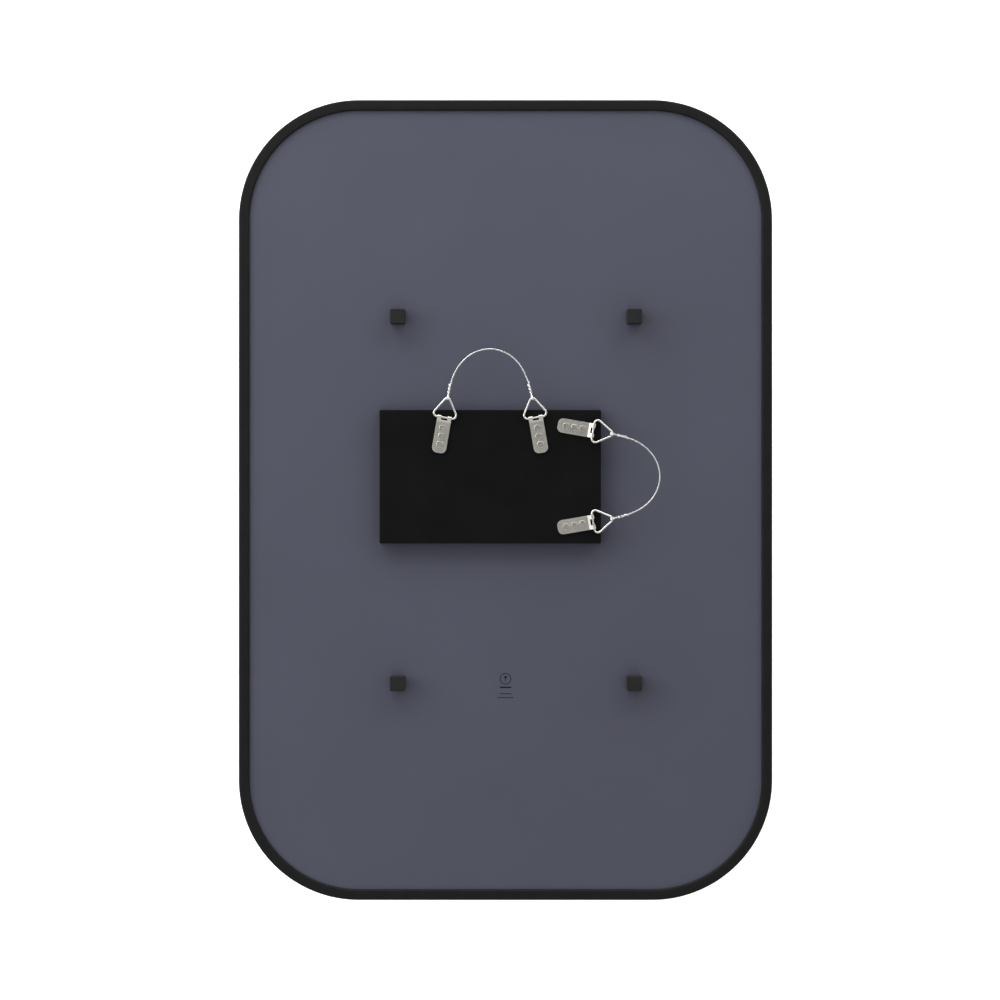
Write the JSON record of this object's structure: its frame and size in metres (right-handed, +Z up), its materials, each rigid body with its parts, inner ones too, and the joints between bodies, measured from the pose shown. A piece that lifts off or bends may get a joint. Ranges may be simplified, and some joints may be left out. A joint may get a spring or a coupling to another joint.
{
  "type": "wall mirror",
  "caption": "Rounded-rectangle wall mirror in a black rubber rim; its back has an off-centre mounting block, strap hangers with rings, wire hanging loops and square bumpers.",
  "frame": {"origin": "middle of the outline, on the wall plane that the bumpers' faces touch", "axes": "+Z up as it hangs portrait, +Y from the wall into the room, so the glass faces +Y and the back faces -Y, +X to the right when facing the back"},
  "size_m": [0.6096, 0.0404, 0.9144],
  "materials": {
    "rim_rubber": "matt moulded black rubber",
    "mirror_glass": "silvered float glass, polished",
    "foam_tape": "white foam tape",
    "board_paint": "fibreboard, slate-grey satin paint with fine texture",
    "block_paint": "fibreboard, matt black paint",
    "screw_zinc": "zinc plated",
    "bumper_rubber": "soft black rubber",
    "strap_zinc": "dull zinc plate, stamped",
    "ring_zinc": "bright zinc plate",
    "wire_steel": "stranded galvanised wire"
  },
  "bodies": {
    "mirror": {"rubber_rim": "rim_rubber", "mirror_glass": "mirror_glass", "glass_tape_strips": "foam_tape", "back_board": "board_paint", "mounting_block": "block_paint", "block_screws": "screw_zinc", "bumper_upper_left": "bumper_rubber", "bumper_upper_right": "bumper_rubber", "bumper_lower_left": "bumper_rubber", "bumper_lower_right": "bumper_rubber", "bumper_pads": "foam_tape", "top_left_strap": "strap_zinc", "top_left_strap_screws": "screw_zinc", "top_right_strap": "strap_zinc", "top_right_strap_screws": "screw_zinc", "side_upper_strap": "strap_zinc", "side_upper_strap_screws": "screw_zinc", "side_lower_strap": "strap_zinc", "side_lower_strap_screws": "screw_zinc"},
    "top_left_ring": {"top_left_d_ring": "ring_zinc", "top_left_wire_eye": "wire_steel"},
    "top_left_twist": {"top_left_wire_twist": "wire_steel"},
    "top_right_ring": {"top_right_d_ring": "ring_zinc", "top_right_wire_eye": "wire_steel"},
    "top_right_twist": {"top_right_wire_twist": "wire_steel"},
    "top_loop": {"top_wire_loop": "wire_steel"},
    "side_upper_ring": {"side_upper_d_ring": "ring_zinc", "side_upper_wire_eye": "wire_steel"},
    "side_upper_twist": {"side_upper_wire_twist": "wire_steel"},
    "side_lower_ring": {"side_lower_d_ring": "ring_zinc", "side_lower_wire_eye": "wire_steel"},
    "side_lower_twist": {"side_lower_wire_twist": "wire_steel"},
    "side_loop": {"side_wire_loop": "wire_steel"}
  },
  "joints": [
    {"name": "top_left_ring_swing", "type": "hinge", "parent": "mirror", "child": "top_left_ring", "pos_m": [-0.0695, 0.0037, 0.0938], "axis": [0.9854, 0, -0.1702], "range_deg": [-5, 165]},
    {"name": "top_left_twist_flex", "type": "hinge", "parent": "top_left_ring", "child": "top_left_twist", "pos_m": [-0.0657, 0.0037, 0.11578], "axis": [0, 1, 0], "range_deg": [-1.5, 38.5]},
    {"name": "top_right_ring_swing", "type": "hinge", "parent": "mirror", "child": "top_right_ring", "pos_m": [0.0343, 0.0037, 0.0938], "axis": [0.9854, 0, 0.1702], "range_deg": [-5, 165]},
    {"name": "top_right_twist_flex", "type": "hinge", "parent": "top_right_ring", "child": "top_right_twist", "pos_m": [0.0305, 0.0037, 0.11578], "axis": [0, 1, 0], "range_deg": [-38.5, 1.5]},
    {"name": "top_loop_swing", "type": "hinge", "parent": "mirror", "child": "top_loop", "pos_m": [-0.0176, 0.0037, 0.0938], "axis": [1, 0, 0], "range_deg": [-5, 165]},
    {"name": "side_upper_ring_swing", "type": "hinge", "parent": "mirror", "child": "side_upper_ring", "pos_m": [0.0996, 0.0037, 0.0788], "axis": [-0.1702, 0, -0.9854], "range_deg": [-5, 165]},
    {"name": "side_upper_twist_flex", "type": "hinge", "parent": "side_upper_ring", "child": "side_upper_twist", "pos_m": [0.12158, 0.0037, 0.075], "axis": [0, 1, 0], "range_deg": [-1.5, 38.5]},
    {"name": "side_lower_ring_swing", "type": "hinge", "parent": "mirror", "child": "side_lower_ring", "pos_m": [0.0996, 0.0037, -0.025], "axis": [0.1702, 0, -0.9854], "range_deg": [-5, 165]},
    {"name": "side_lower_twist_flex", "type": "hinge", "parent": "side_lower_ring", "child": "side_lower_twist", "pos_m": [0.12158, 0.0037, -0.0212], "axis": [0, 1, 0], "range_deg": [-38.5, 1.5]},
    {"name": "side_loop_swing", "type": "hinge", "parent": "mirror", "child": "side_loop", "pos_m": [0.0996, 0.0037, 0.0269], "axis": [0, 0, -1], "range_deg": [-5, 165]}
  ],
  "couplings": [
    {"joint": "top_left_twist_flex", "follows": "top_left_ring_swing", "ratio": 0.232},
    {"joint": "top_right_ring_swing", "follows": "top_left_ring_swing", "ratio": 1},
    {"joint": "top_right_twist_flex", "follows": "top_left_ring_swing", "ratio": -0.232},
    {"joint": "top_loop_swing", "follows": "top_left_ring_swing", "ratio": 1},
    {"joint": "side_upper_twist_flex", "follows": "side_upper_ring_swing", "ratio": 0.232},
    {"joint": "side_lower_ring_swing", "follows": "side_upper_ring_swing", "ratio": 1},
    {"joint": "side_lower_twist_flex", "follows": "side_upper_ring_swing", "ratio": -0.232},
    {"joint": "side_loop_swing", "follows": "side_upper_ring_swing", "ratio": 1}
  ]
}
